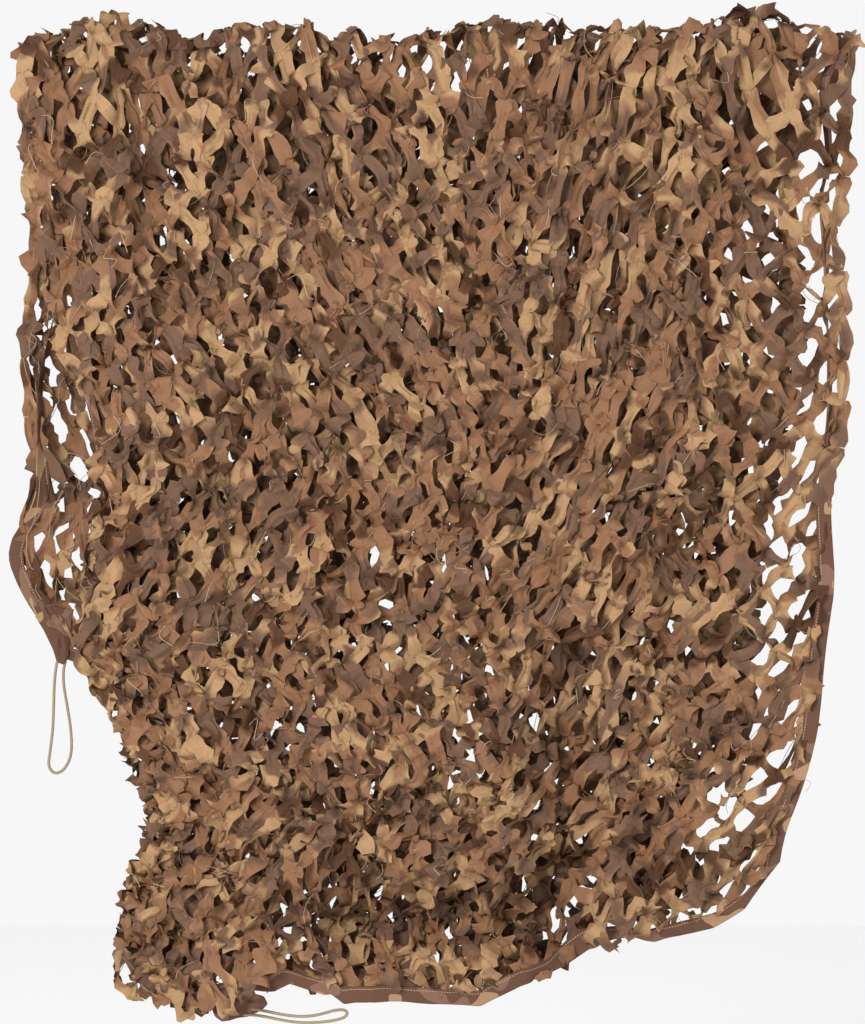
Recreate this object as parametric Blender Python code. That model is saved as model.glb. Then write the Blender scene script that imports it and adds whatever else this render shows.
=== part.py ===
"""A leaf-cut camouflage net hung over a level line, in metres, +Z up.

The origin is the middle of the fold over the line. +X points to the right as seen from the front,
+Y to the back. The net is one cut length: a long front fall, a crown over the line and a shorter
back fall, with folded tape sewn round its four edges and a cord loop at each corner that hangs free.
"""

import math

import bmesh
import bpy
import numpy as np

# Driving sizes
CLOTH_THICK = 0.003
TAPE_WIDTH = 0.025
TAPE_THICK = 0.004
SEAM_GAP = 0.0003
CORD_DIAMETER = 0.0045
CROWN_RADIUS = 0.032
TURN_RADIUS = 0.016
TURN_SPACE = 0.036

# How finely the cloth is divided: across its width, down each fall and round the crown
ACROSS = 36
DOWN_FRONT = 34
ROUND_CROWN = 6
DOWN_BACK = 16
# The share of the front fall's length at which its rows draw closer, for the folds at the bottom
CLOSE_ROWS_FROM = 0.62
CLOSE_ROWS = 17


def table(columns, rows):
    """The named columns of a short table, each as an array."""
    return dict(zip(columns.split(), np.array(rows, float).T))


# The front fall at each drop below the crown: its left and right outline, how wide a margin is
# turned back behind its left side, and how far it stands forward of the line.
FRONT = table(
    "drop left right turned forward",
    [
        (0.000, -0.630, 0.642, 0.000, 0.032),
        (0.060, -0.630, 0.604, 0.000, 0.040),
        (0.170, -0.624, 0.612, 0.000, 0.052),
        (0.250, -0.618, 0.592, 0.000, 0.058),
        (0.320, -0.605, 0.598, 0.000, 0.062),
        (0.450, -0.570, 0.604, 0.010, 0.068),
        (0.570, -0.524, 0.603, 0.020, 0.072),
        (0.700, -0.509, 0.584, 0.030, 0.074),
        (0.820, -0.536, 0.591, 0.050, 0.076),
        (0.920, -0.552, 0.576, 0.075, 0.078),
        (0.980, -0.507, 0.572, 0.085, 0.080),
        (1.050, -0.474, 0.563, 0.100, 0.082),
        (1.115, -0.442, 0.545, 0.115, 0.084),
        (1.195, -0.443, 0.514, 0.130, 0.086),
        (1.280, -0.471, 0.500, 0.145, 0.088),
        (1.370, -0.480, 0.500, 0.150, 0.086),
        (1.480, -0.440, 0.500, 0.130, 0.084),
    ],
)

# How long the front fall is at each share of its width, from its left edge to its right edge.
FRONT_HEM = table(
    "share drop",
    [
        (0.00, 1.466),
        (0.08, 1.452),
        (0.13, 1.440),
        (0.20, 1.470),
        (0.28, 1.448),
        (0.35, 1.424),
        (0.39, 1.447),
        (0.48, 1.443),
        (0.60, 1.452),
        (0.66, 1.420),
        (0.70, 1.412),
        (0.75, 1.370),
        (0.83, 1.362),
        (0.92, 1.336),
        (0.96, 1.306),
        (1.00, 1.235),
    ],
)

# The back fall at each drop: its outline and how far it stands behind the line.
BACK = table(
    "drop left right behind",
    [
        (0.000, -0.630, 0.642, 0.032),
        (0.070, -0.636, 0.604, 0.038),
        (0.150, -0.640, 0.560, 0.044),
        (0.230, -0.618, 0.490, 0.046),
        (0.300, -0.616, 0.432, 0.047),
        (0.380, -0.622, 0.422, 0.048),
        (0.470, -0.638, 0.426, 0.050),
        (0.600, -0.622, 0.430, 0.050),
        (0.690, -0.612, 0.435, 0.050),
        (0.770, -0.662, 0.438, 0.048),
        (0.840, -0.634, 0.440, 0.046),
        (0.930, -0.570, 0.445, 0.046),
        (1.300, -0.520, 0.450, 0.046),
    ],
)

# How long the back fall is at each share of its width.
BACK_HEM = table(
    "share drop",
    [
        (0.00, 0.932),
        (0.12, 0.985),
        (0.30, 0.960),
        (0.44, 0.800),
        (0.55, 0.735),
        (0.63, 0.790),
        (0.72, 1.060),
        (0.80, 1.200),
        (0.88, 1.120),
        (1.00, 0.980),
    ],
)

# Soft folds in the front fall, each along a straight run from (x0, drop0) to (x1, drop1). A rise
# brings the cloth forward, and a negative one is a trough.
FRONT_FOLDS = table(
    "x0 drop0 x1 drop1 half_width rise",
    [
        (0.456, 0.05, 0.462, 0.32, 0.034, -0.026),
        (0.520, 0.04, 0.535, 0.55, 0.030, 0.018),
        (0.400, 0.10, 0.330, 0.62, 0.046, 0.020),
        (0.250, 0.06, 0.240, 0.50, 0.034, -0.016),
        (0.130, 0.08, 0.080, 0.46, 0.050, 0.016),
        (-0.070, 0.10, -0.110, 0.55, 0.036, -0.016),
        (-0.230, 0.06, -0.260, 0.50, 0.052, 0.018),
        (-0.440, 0.12, -0.420, 0.30, 0.034, -0.022),
        (-0.520, 0.05, -0.500, 0.35, 0.040, 0.018),
        (-0.440, 0.45, -0.430, 0.85, 0.045, 0.024),
        (-0.330, 0.50, -0.280, 1.05, 0.034, -0.024),
        (-0.190, 0.62, -0.150, 0.98, 0.055, 0.022),
        (0.395, 0.60, 0.180, 0.88, 0.040, 0.028),
        (0.375, 0.74, 0.300, 1.06, 0.042, -0.030),
        (0.450, 0.62, 0.440, 1.20, 0.036, 0.020),
        (0.520, 0.70, 0.510, 1.05, 0.028, -0.014),
        (0.190, 0.94, 0.180, 1.32, 0.040, -0.048),
        (0.275, 1.00, 0.280, 1.28, 0.045, 0.024),
        (0.100, 0.98, 0.090, 1.20, 0.045, 0.024),
        (-0.190, 1.06, 0.060, 1.08, 0.048, 0.038),
        (-0.400, 1.02, -0.230, 1.12, 0.050, 0.028),
        (-0.200, 1.17, 0.050, 1.18, 0.038, -0.014),
        (-0.300, 1.26, 0.060, 1.235, 0.042, 0.036),
        (-0.170, 1.318, 0.130, 1.308, 0.036, -0.050),
        (-0.390, 1.33, -0.300, 1.40, 0.050, 0.032),
        (-0.100, 1.395, 0.130, 1.390, 0.034, 0.026),
        (0.330, 1.28, 0.420, 1.24, 0.045, 0.022),
    ],
)

# Soft folds in the back fall, told in the same way. A rise takes the cloth further back.
BACK_FOLDS = table(
    "x0 drop0 x1 drop1 half_width rise",
    [
        (-0.540, 0.06, -0.560, 0.60, 0.034, 0.022),
        (-0.460, 0.10, -0.480, 0.80, 0.030, -0.016),
        (-0.360, 0.08, -0.380, 0.90, 0.042, 0.026),
        (-0.230, 0.10, -0.240, 0.85, 0.034, -0.018),
        (-0.100, 0.06, -0.130, 0.70, 0.044, 0.024),
        (0.040, 0.12, 0.030, 0.66, 0.034, -0.016),
        (0.160, 0.08, 0.170, 0.90, 0.042, 0.028),
        (0.280, 0.12, 0.280, 1.10, 0.032, -0.018),
        (0.380, 0.10, 0.370, 1.05, 0.038, 0.026),
        (0.520, 0.05, 0.440, 0.40, 0.030, 0.014),
    ],
)

# Lumps along the crown, where the cloth stands off the line or sags beside it.
CROWN_LUMPS = table(
    "x half_width lift",
    [
        (-0.500, 0.070, 0.024),
        (-0.375, 0.045, -0.004),
        (-0.250, 0.070, 0.008),
        (-0.080, 0.080, 0.002),
        (0.110, 0.090, 0.016),
        (0.290, 0.060, 0.006),
        (0.455, 0.070, 0.028),
        (0.610, 0.050, 0.010),
    ],
)

# The largest gaps of the open cut, where the net can be seen through: the middle of each one.
FRONT_GAPS = table(
    "x drop",
    [
        (0.460, 0.34),
        (0.530, 0.42),
        (0.560, 0.55),
        (0.520, 0.70),
        (0.550, 0.86),
        (0.520, 1.03),
        (0.430, 1.25),
        (0.345, 1.17),
        (-0.015, 0.80),
        (0.065, 1.02),
    ],
)
BACK_GAPS = table("x drop", [(-0.590, 0.46), (-0.605, 0.79)])

# The cord loops, each as the route of its middle line from one end to the other.
BACK_LOOP = [
    (-0.5800, 0.0465, -0.9315),
    (-0.5835, 0.0475, -0.9480),
    (-0.5860, 0.0490, -0.9740),
    (-0.5870, 0.0500, -1.0050),
    (-0.5885, 0.0505, -1.0400),
    (-0.5925, 0.0510, -1.0740),
    (-0.5945, 0.0510, -1.0920),
    (-0.5905, 0.0515, -1.1030),
    (-0.5820, 0.0520, -1.1065),
    (-0.5720, 0.0520, -1.1010),
    (-0.5635, 0.0515, -1.0870),
    (-0.5600, 0.0510, -1.0680),
    (-0.5615, 0.0505, -1.0380),
    (-0.5665, 0.0500, -1.0050),
    (-0.5715, 0.0490, -0.9740),
    (-0.5720, 0.0475, -0.9520),
    (-0.5690, 0.0465, -0.9375),
]
FRONT_LOOP = [
    (-0.3215, -0.0530, -1.4610),
    (-0.3100, -0.0540, -1.4590),
    (-0.2950, -0.0560, -1.4570),
    (-0.2780, -0.0590, -1.4580),
    (-0.2600, -0.0620, -1.4610),
    (-0.2380, -0.0660, -1.4650),
    (-0.2150, -0.0690, -1.4675),
    (-0.1930, -0.0715, -1.4665),
    (-0.1750, -0.0730, -1.4625),
    (-0.1600, -0.0740, -1.4585),
    (-0.1475, -0.0745, -1.4575),
    (-0.1410, -0.0750, -1.4615),
    (-0.1445, -0.0755, -1.4680),
    (-0.1570, -0.0750, -1.4725),
    (-0.1760, -0.0740, -1.4755),
    (-0.2000, -0.0720, -1.4770),
    (-0.2240, -0.0690, -1.4755),
    (-0.2480, -0.0655, -1.4715),
    (-0.2700, -0.0615, -1.4675),
    (-0.2900, -0.0580, -1.4660),
    (-0.3080, -0.0550, -1.4670),
    (-0.3215, -0.0530, -1.4685),
]
LOOP_POINTS = 32

COLOURS = {
    "cloth": (0.32, 0.20, 0.11, 1.0),
    "tape": (0.15, 0.08, 0.045, 1.0),
    "cord": (0.42, 0.31, 0.19, 1.0),
}


def read(levels, column, drop):
    """A column of a table at any drop, running smoothly between its rows."""
    at, value = levels["drop"], levels[column]
    step = 0.02
    return sum(np.interp(drop + shift * step, at, value) for shift in (-1, 0, 1)) / 3


def relief(folds, x, drop):
    """How far the folds bring a point of a fall outwards, fading out at the crown."""
    total = np.zeros(np.broadcast(x, drop).shape)
    for x0, drop0, x1, drop1, half_width, rise in zip(*folds.values()):
        run_x, run_drop = x1 - x0, drop1 - drop0
        along = ((x - x0) * run_x + (drop - drop0) * run_drop) / (run_x**2 + run_drop**2)
        along = np.clip(along, 0, 1)
        far_x, far_drop = x - x0 - along * run_x, drop - drop0 - along * run_drop
        total += rise * np.exp(-(far_x**2 + far_drop**2) / half_width**2)
    return total * np.clip((drop - CROWN_RADIUS) / 0.08, 0, 1)


def crown_lift(x):
    lift = np.zeros_like(x)
    for middle, half_width, height in zip(*CROWN_LUMPS.values()):
        lift += height * np.exp(-(((x - middle) / half_width) ** 2))
    return lift


def fading_lift(x, drop):
    """The crown's lumps, fading out down the falls."""
    return crown_lift(x) * np.clip(1 - (drop - CROWN_RADIUS) / 0.10, 0, 1)


def front_fall(share, down):
    """Points of the front fall. share runs from the left edge to the right one, down from the
    crown to the hem. The left margin turns back behind the front in a round fold."""
    length = np.interp(share, FRONT_HEM["share"], FRONT_HEM["drop"])
    drop = CROWN_RADIUS + down * (length - CROWN_RADIUS)
    left, right = read(FRONT, "left", drop), read(FRONT, "right", drop)
    turned = read(FRONT, "turned", drop)
    radius = TURN_RADIUS * np.clip(turned / TURN_SPACE, 0.01, 1)
    width = right - left
    from_fold = share * (width + turned) - turned
    bend = np.sqrt(from_fold**2 + radius**2)
    x = left + width * (bend - radius) / (np.sqrt(width**2 + radius**2) - radius)
    behind = TURN_SPACE / 2 * (1 - from_fold / bend) * np.clip(turned / TURN_SPACE, 0, 1)
    y = -read(FRONT, "forward", drop) - relief(FRONT_FOLDS, x, drop) + behind
    return np.stack([x, y, -drop + fading_lift(x, drop)], axis=-1)


def crown(share, turn):
    """Points of the crown, which turns half round the line from front to back."""
    left, right = read(FRONT, "left", CROWN_RADIUS), read(FRONT, "right", CROWN_RADIUS)
    x = left + share * (right - left)
    y = np.full_like(x, -CROWN_RADIUS * math.cos(math.pi * turn))
    z = -CROWN_RADIUS * (1 - math.sin(math.pi * turn)) + crown_lift(x)
    return np.stack([x, y, z], axis=-1)


def back_fall(share, down):
    """Points of the back fall, from the crown to its own hem."""
    length = np.interp(share, BACK_HEM["share"], BACK_HEM["drop"])
    drop = CROWN_RADIUS + down * (length - CROWN_RADIUS)
    left, right = read(BACK, "left", drop), read(BACK, "right", drop)
    x = left + share * (right - left)
    y = read(BACK, "behind", drop) + relief(BACK_FOLDS, x, drop)
    return np.stack([x, y, -drop + fading_lift(x, drop)], axis=-1)


def columns_of(width):
    """The shares of a row this wide at which its columns stand, a tape's width off each edge."""
    edge = TAPE_WIDTH / width
    return np.concatenate([[0], np.linspace(edge, 1 - edge, ACROSS - 1), [1]])


def fall_rows(fall, levels, hem, downs):
    """The rows of one fall, at these shares of its length. The last row but one lies a tape's
    width above the hem, measured square to it."""
    columns = []
    for down in downs:
        drop = down * np.mean(hem["drop"])
        width = read(levels, "right", drop) - read(levels, "left", drop)
        if "turned" in levels:
            width += read(levels, "turned", drop)
        columns.append(columns_of(width))
    last = columns[-1]
    length = np.interp(last, hem["share"], hem["drop"])
    slope = np.gradient(length, last) / (levels["right"][-1] - levels["left"][-1])
    inset = TAPE_WIDTH * np.sqrt(1 + slope**2) / length
    rows = [fall(share, down * (1 - inset)) for share, down in zip(columns, downs)]
    return rows + [fall(last, np.ones_like(last))]


def cloth_grid():
    """The middle surface of the whole net as a grid of points, row by row from the front hem over
    the crown to the back hem. Its outermost strips, a tape's width wide, are the bindings."""
    wide_rows = np.linspace(0, CLOSE_ROWS_FROM, DOWN_FRONT - CLOSE_ROWS, endpoint=False)
    close_rows = np.linspace(CLOSE_ROWS_FROM, 1, CLOSE_ROWS)
    front = fall_rows(front_fall, FRONT, FRONT_HEM, np.concatenate([wide_rows, close_rows]))
    back = fall_rows(back_fall, BACK, BACK_HEM, np.linspace(0, 1, DOWN_BACK))
    columns = columns_of(FRONT["right"][0] - FRONT["left"][0])
    over = [crown(columns, turn) for turn in np.linspace(0, 1, ROUND_CROWN + 1)[1:-1]]
    return np.array(front[::-1] + over + back)


def nearest_cells(grid, rows, gaps):
    """The cells of the grid, among these rows, whose middles lie nearest to the gaps' own."""
    middles = (grid[:-1, :-1] + grid[1:, :-1] + grid[:-1, 1:] + grid[1:, 1:]) / 4
    found = []
    for x, drop in zip(*gaps.values()):
        apart = np.hypot(middles[rows, :, 0] - x, middles[rows, :, 2] + drop)
        row, column = np.unravel_index(np.argmin(apart), apart.shape)
        found.append((int(row) + rows.start, int(column)))
    return found


def grid_normals(grid):
    across = np.gradient(grid, axis=1)
    along = np.gradient(grid, axis=0)
    normals = np.cross(across, along)
    return normals / np.linalg.norm(normals, axis=-1, keepdims=True)


def set_back(points, edges):
    """Moves the named edges of a patch inwards by half the seam gap, along the cloth."""
    moved = points.copy()
    lines = {
        "first_row": (np.s_[0, :], np.s_[1, :]),
        "last_row": (np.s_[-1, :], np.s_[-2, :]),
        "first_column": (np.s_[:, 0], np.s_[:, 1]),
        "last_column": (np.s_[:, -1], np.s_[:, -2]),
    }
    for edge in edges:
        border, inside = lines[edge]
        way = points[inside] - points[border]
        moved[border] += way * (SEAM_GAP / 2) / np.linalg.norm(way, axis=-1, keepdims=True)
    return moved


def material(name, colour, roughness):
    made = bpy.data.materials.new(name)
    made.use_nodes = True
    shader = made.node_tree.nodes["Principled BSDF"]
    shader.inputs["Base Color"].default_value = colour
    shader.inputs["Roughness"].default_value = roughness
    shader.inputs["Metallic"].default_value = 0.0
    return made


def solid_sheet(name, points, normals, thickness, finish, left_out=()):
    """A closed sheet of even thickness on a grid of middle points. left_out names the cells, as
    (row, column), that stay open."""
    rows, columns = points.shape[:2]
    mesh = bmesh.new()
    sides = []
    for half in (thickness / 2, -thickness / 2):
        places = points + normals * half
        sides.append([[mesh.verts.new(places[i, j]) for j in range(columns)] for i in range(rows)])
    upper, lower = sides
    cells = {(i, j) for i in range(rows - 1) for j in range(columns - 1)} - set(left_out)
    for i, j in sorted(cells):
        corners = [(i, j), (i, j + 1), (i + 1, j + 1), (i + 1, j)]
        mesh.faces.new([upper[a][b] for a, b in corners])
        mesh.faces.new([lower[a][b] for a, b in reversed(corners)])
        beside = [(i - 1, j), (i, j + 1), (i + 1, j), (i, j - 1)]
        for k, neighbour in enumerate(beside):
            if neighbour not in cells:
                (a, b), (c, d) = corners[k], corners[(k + 1) % 4]
                mesh.faces.new([upper[c][d], upper[a][b], lower[a][b], lower[c][d]])
    bmesh.ops.delete(mesh, geom=[v for v in mesh.verts if not v.link_faces], context="VERTS")
    bmesh.ops.triangulate(mesh, faces=mesh.faces[:])
    bmesh.ops.recalc_face_normals(mesh, faces=mesh.faces[:])
    data = bpy.data.meshes.new(name)
    mesh.to_mesh(data)
    mesh.free()
    data.shade_smooth()
    data.set_sharp_from_angle(angle=math.radians(50))
    data.materials.append(finish)
    sheet = bpy.data.objects.new(name, data)
    bpy.context.collection.objects.link(sheet)
    return sheet


def smooth_route(points, count):
    """Points evenly spaced in parameter on a smooth curve through the route's own points."""
    route = np.array(points)
    padded = np.vstack([2 * route[0] - route[1], route, 2 * route[-1] - route[-2]])
    found = []
    for place in np.linspace(0, len(route) - 1, count):
        i = min(int(place), len(route) - 2)
        t = place - i
        p0, p1, p2, p3 = padded[i : i + 4]
        found.append(
            0.5 * (2 * p1 + (p2 - p0) * t + (2 * p0 - 5 * p1 + 4 * p2 - p3) * t**2)
            + 0.5 * (3 * p1 - p0 - 3 * p2 + p3) * t**3
        )
    return found


def cord_loop(name, route, finish):
    curve = bpy.data.curves.new(name, "CURVE")
    curve.dimensions = "3D"
    curve.bevel_depth = CORD_DIAMETER / 2
    curve.bevel_resolution = 2
    curve.use_fill_caps = True
    line = curve.splines.new("POLY")
    places = smooth_route(route, LOOP_POINTS)
    line.points.add(len(places) - 1)
    for point, place in zip(line.points, places):
        point.co = (*place, 1)
    line.use_smooth = True
    curve.materials.append(finish)
    loop = bpy.data.objects.new(name, curve)
    bpy.context.collection.objects.link(loop)
    return loop


for old in list(bpy.data.objects):
    bpy.data.objects.remove(old, do_unlink=True)

cloth_finish = material("printed_cloth", COLOURS["cloth"], 0.85)
tape_finish = material("printed_tape", COLOURS["tape"], 0.8)
cord_finish = material("braided_cord", COLOURS["cord"], 0.9)

grid = cloth_grid()
normals = grid_normals(grid)
cloth = grid[1:-1, 1:-1]
gaps = nearest_cells(cloth, slice(0, DOWN_FRONT - 1), FRONT_GAPS)
gaps += nearest_cells(cloth, slice(DOWN_FRONT + ROUND_CROWN, len(cloth) - 1), BACK_GAPS)
all_round = ("first_row", "last_row", "first_column", "last_column")
cloth_normals = normals[1:-1, 1:-1]
solid_sheet("leaf_cloth", set_back(cloth, all_round), cloth_normals, CLOTH_THICK, cloth_finish, gaps)

for name, strip, seams in (
    ("left_edge_tape", np.s_[:, :2], ["last_column"]),
    ("right_edge_tape", np.s_[:, -2:], ["first_column"]),
    ("front_hem_tape", np.s_[:2, 1:-1], ["last_row", "first_column", "last_column"]),
    ("back_hem_tape", np.s_[-2:, 1:-1], ["first_row", "first_column", "last_column"]),
):
    solid_sheet(name, set_back(grid[strip], seams), normals[strip], TAPE_THICK, tape_finish)

cord_loop("back_corner_loop", BACK_LOOP, cord_finish)
cord_loop("front_corner_loop", FRONT_LOOP, cord_finish)
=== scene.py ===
import math

import bpy
import numpy as np
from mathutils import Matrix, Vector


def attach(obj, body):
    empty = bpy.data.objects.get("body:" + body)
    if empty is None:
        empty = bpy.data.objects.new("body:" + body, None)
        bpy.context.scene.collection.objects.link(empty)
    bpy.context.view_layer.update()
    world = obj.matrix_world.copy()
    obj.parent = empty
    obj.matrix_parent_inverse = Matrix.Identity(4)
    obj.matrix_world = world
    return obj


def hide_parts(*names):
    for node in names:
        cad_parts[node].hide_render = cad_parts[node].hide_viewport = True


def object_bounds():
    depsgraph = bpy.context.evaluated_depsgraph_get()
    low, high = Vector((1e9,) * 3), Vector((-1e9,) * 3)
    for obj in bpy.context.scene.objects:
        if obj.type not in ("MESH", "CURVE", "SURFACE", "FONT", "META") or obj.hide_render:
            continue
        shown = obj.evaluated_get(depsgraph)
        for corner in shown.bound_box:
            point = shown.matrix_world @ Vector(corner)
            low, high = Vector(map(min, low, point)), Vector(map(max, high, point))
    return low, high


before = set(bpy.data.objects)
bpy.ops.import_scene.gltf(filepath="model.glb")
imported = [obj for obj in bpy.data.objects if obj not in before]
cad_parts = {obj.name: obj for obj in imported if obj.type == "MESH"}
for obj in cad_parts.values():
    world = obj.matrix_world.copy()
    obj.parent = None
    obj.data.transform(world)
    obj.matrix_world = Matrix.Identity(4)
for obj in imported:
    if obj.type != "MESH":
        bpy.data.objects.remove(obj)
cad_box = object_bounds()


# ---------------------------------------------------------------------------------------------
# The leaf cloth. One length of thin printed polyester, cut all over with curved slits that stop
# short of each other, so that it opens into leaf-shaped tongues joined by straps. It is folded
# over a hidden line: a long front fall, and a shorter back fall behind it.
CUTS_ACROSS = 30            # junctions side by side across the cloth
CUT_ROWS = 66               # rows of junctions from the front hem to the back hem, staggered
CUT_WIDTH = 0.054           # from one junction to the next, across the flat cloth
CUT_HEIGHT = 0.039          # and from one row to the next
TAPE_WIDTH = 0.025
CROWN_RADIUS = 0.032
TURN_RADIUS = 0.016
TURN_SPACE = 0.036
CREASE_ANGLE = math.radians(8)


def table(columns, rows):
    return dict(zip(columns.split(), np.array(rows, float).T))


# The front fall at each drop below the crown: its left and right outline, how wide a margin is
# turned back behind its left side, and how far it stands forward of the line.
FRONT = table(
    "drop left right turned forward",
    [
        (0.000, -0.630, 0.642, 0.000, 0.032),
        (0.060, -0.630, 0.604, 0.000, 0.040),
        (0.170, -0.624, 0.612, 0.000, 0.052),
        (0.250, -0.618, 0.592, 0.000, 0.058),
        (0.320, -0.605, 0.598, 0.000, 0.062),
        (0.450, -0.570, 0.604, 0.010, 0.068),
        (0.570, -0.524, 0.603, 0.020, 0.072),
        (0.700, -0.509, 0.584, 0.030, 0.074),
        (0.820, -0.536, 0.591, 0.050, 0.076),
        (0.920, -0.552, 0.576, 0.075, 0.078),
        (0.980, -0.507, 0.572, 0.085, 0.080),
        (1.050, -0.474, 0.563, 0.100, 0.082),
        (1.115, -0.442, 0.545, 0.115, 0.084),
        (1.195, -0.443, 0.514, 0.130, 0.086),
        (1.280, -0.471, 0.500, 0.145, 0.088),
        (1.370, -0.480, 0.500, 0.150, 0.086),
        (1.480, -0.440, 0.500, 0.130, 0.084),
    ],
)

# How long the front fall is at each share of its width, from its left edge to its right edge.
FRONT_HEM = table(
    "share drop",
    [
        (0.00, 1.466),
        (0.08, 1.452),
        (0.13, 1.440),
        (0.20, 1.470),
        (0.28, 1.448),
        (0.35, 1.424),
        (0.39, 1.447),
        (0.48, 1.443),
        (0.60, 1.452),
        (0.66, 1.420),
        (0.70, 1.412),
        (0.75, 1.370),
        (0.83, 1.362),
        (0.92, 1.336),
        (0.96, 1.306),
        (1.00, 1.235),
    ],
)

# The back fall at each drop: its outline and how far it stands behind the line.
BACK = table(
    "drop left right behind",
    [
        (0.000, -0.630, 0.642, 0.032),
        (0.070, -0.636, 0.604, 0.038),
        (0.150, -0.640, 0.560, 0.044),
        (0.230, -0.618, 0.490, 0.046),
        (0.300, -0.616, 0.432, 0.047),
        (0.380, -0.622, 0.422, 0.048),
        (0.470, -0.638, 0.426, 0.050),
        (0.600, -0.622, 0.430, 0.050),
        (0.690, -0.612, 0.435, 0.050),
        (0.770, -0.662, 0.438, 0.048),
        (0.840, -0.634, 0.440, 0.046),
        (0.930, -0.570, 0.445, 0.046),
        (1.300, -0.520, 0.450, 0.046),
    ],
)

# How long the back fall is at each share of its width.
BACK_HEM = table(
    "share drop",
    [
        (0.00, 0.932),
        (0.12, 0.985),
        (0.30, 0.960),
        (0.44, 0.800),
        (0.55, 0.735),
        (0.63, 0.790),
        (0.72, 1.060),
        (0.80, 1.200),
        (0.88, 1.120),
        (1.00, 0.980),
    ],
)

# Soft folds in the front fall, each along a straight run from (x0, drop0) to (x1, drop1). A rise
# brings the cloth forward, and a negative one is a trough.
FRONT_FOLDS = table(
    "x0 drop0 x1 drop1 half_width rise",
    [
        (0.456, 0.05, 0.462, 0.32, 0.034, -0.026),
        (0.520, 0.04, 0.535, 0.55, 0.030, 0.018),
        (0.400, 0.10, 0.330, 0.62, 0.046, 0.020),
        (0.250, 0.06, 0.240, 0.50, 0.034, -0.016),
        (0.130, 0.08, 0.080, 0.46, 0.050, 0.016),
        (-0.070, 0.10, -0.110, 0.55, 0.036, -0.016),
        (-0.230, 0.06, -0.260, 0.50, 0.052, 0.018),
        (-0.440, 0.12, -0.420, 0.30, 0.034, -0.022),
        (-0.520, 0.05, -0.500, 0.35, 0.040, 0.018),
        (-0.440, 0.45, -0.430, 0.85, 0.045, 0.024),
        (-0.330, 0.50, -0.280, 1.05, 0.034, -0.024),
        (-0.190, 0.62, -0.150, 0.98, 0.055, 0.022),
        (0.395, 0.60, 0.180, 0.88, 0.040, 0.028),
        (0.375, 0.74, 0.300, 1.06, 0.042, -0.030),
        (0.450, 0.62, 0.440, 1.20, 0.036, 0.020),
        (0.520, 0.70, 0.510, 1.05, 0.028, -0.014),
        (0.190, 0.94, 0.180, 1.32, 0.040, -0.066),
        (0.275, 1.00, 0.280, 1.28, 0.045, 0.024),
        (0.100, 0.98, 0.090, 1.20, 0.045, 0.024),
        (-0.190, 1.06, 0.060, 1.08, 0.048, 0.038),
        (-0.400, 1.02, -0.230, 1.12, 0.050, 0.028),
        (-0.200, 1.17, 0.050, 1.18, 0.038, -0.014),
        (-0.300, 1.26, 0.060, 1.235, 0.042, 0.036),
        (-0.170, 1.324, 0.140, 1.316, 0.052, -0.100),
        (-0.390, 1.33, -0.300, 1.40, 0.050, 0.032),
        (-0.100, 1.395, 0.130, 1.390, 0.034, 0.026),
        (0.330, 1.28, 0.420, 1.24, 0.045, 0.022),
    ],
)

# Soft folds in the back fall, told in the same way. A rise takes the cloth further back.
BACK_FOLDS = table(
    "x0 drop0 x1 drop1 half_width rise",
    [
        (-0.540, 0.06, -0.560, 0.60, 0.034, 0.022),
        (-0.460, 0.10, -0.480, 0.80, 0.030, -0.016),
        (-0.360, 0.08, -0.380, 0.90, 0.042, 0.026),
        (-0.230, 0.10, -0.240, 0.85, 0.034, -0.018),
        (-0.100, 0.06, -0.130, 0.70, 0.044, 0.024),
        (0.040, 0.12, 0.030, 0.66, 0.034, -0.016),
        (0.160, 0.08, 0.170, 0.90, 0.042, 0.028),
        (0.280, 0.12, 0.280, 1.10, 0.032, -0.018),
        (0.380, 0.10, 0.370, 1.05, 0.038, 0.026),
        (0.520, 0.05, 0.440, 0.40, 0.030, 0.014),
    ],
)

# Lumps along the crown, where the cloth stands off the line or sags beside it.
CROWN_LUMPS = table(
    "x half_width lift",
    [
        (-0.500, 0.070, 0.024),
        (-0.375, 0.045, -0.004),
        (-0.250, 0.070, 0.008),
        (-0.080, 0.080, 0.002),
        (0.110, 0.090, 0.016),
        (0.290, 0.060, 0.006),
        (0.455, 0.070, 0.028),
        (0.610, 0.050, 0.010),
    ],
)


def read(levels, column, drop):
    """A column of a table at any drop, running smoothly between its rows."""
    at, value = levels["drop"], levels[column]
    step = 0.02
    return sum(np.interp(drop + shift * step, at, value) for shift in (-1, 0, 1)) / 3


def relief(folds, x, drop):
    """How far the folds bring a point of a fall outwards, fading out at the crown."""
    total = np.zeros(np.broadcast(x, drop).shape)
    for x0, drop0, x1, drop1, half_width, rise in zip(*folds.values()):
        run_x, run_drop = x1 - x0, drop1 - drop0
        along = ((x - x0) * run_x + (drop - drop0) * run_drop) / (run_x**2 + run_drop**2)
        along = np.clip(along, 0, 1)
        far_x, far_drop = x - x0 - along * run_x, drop - drop0 - along * run_drop
        total += rise * np.exp(-(far_x**2 + far_drop**2) / half_width**2)
    return total * np.clip((drop - CROWN_RADIUS) / 0.08, 0, 1)


def crown_lift(x):
    lift = np.zeros_like(x)
    for middle, half_width, height in zip(*CROWN_LUMPS.values()):
        lift += height * np.exp(-(((x - middle) / half_width) ** 2))
    return lift


def fading_lift(x, drop):
    """The crown's lumps, fading out down the falls."""
    return crown_lift(x) * np.clip(1 - (drop - CROWN_RADIUS) / 0.10, 0, 1)


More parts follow.
